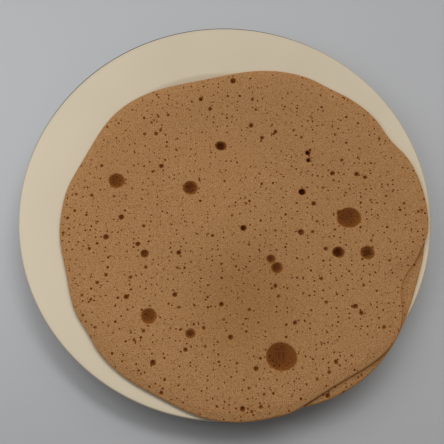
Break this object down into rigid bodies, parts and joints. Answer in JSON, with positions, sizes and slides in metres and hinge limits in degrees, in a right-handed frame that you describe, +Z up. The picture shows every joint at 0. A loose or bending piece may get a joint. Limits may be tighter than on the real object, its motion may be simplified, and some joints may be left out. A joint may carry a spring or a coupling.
{
  "type": "injera flatbread on a plate",
  "caption": "Thin spongy round flatbreads laid one over the other on a round dinner plate with a wide rim, their top side full of small bubble holes.",
  "frame": {"origin": "on the plate's axis, at the level of the table, under the foot ring", "axes": "+Z up along the plate's axis; -Y towards the side from which the picture was taken; +X to the right of it"},
  "size_m": [0.28, 0.28, 0.0233],
  "materials": {
    "plate_glaze": "smooth cream glaze, low gloss, thinned to a brown line along the lip",
    "injera": "soft matte baked batter, brown, full of pinholes and burst bubbles with darker floors"
  },
  "bodies": {
    "root": {"plate": "plate_glaze", "injera_lower": "injera", "injera_upper": "injera"}
  },
  "joints": []
}
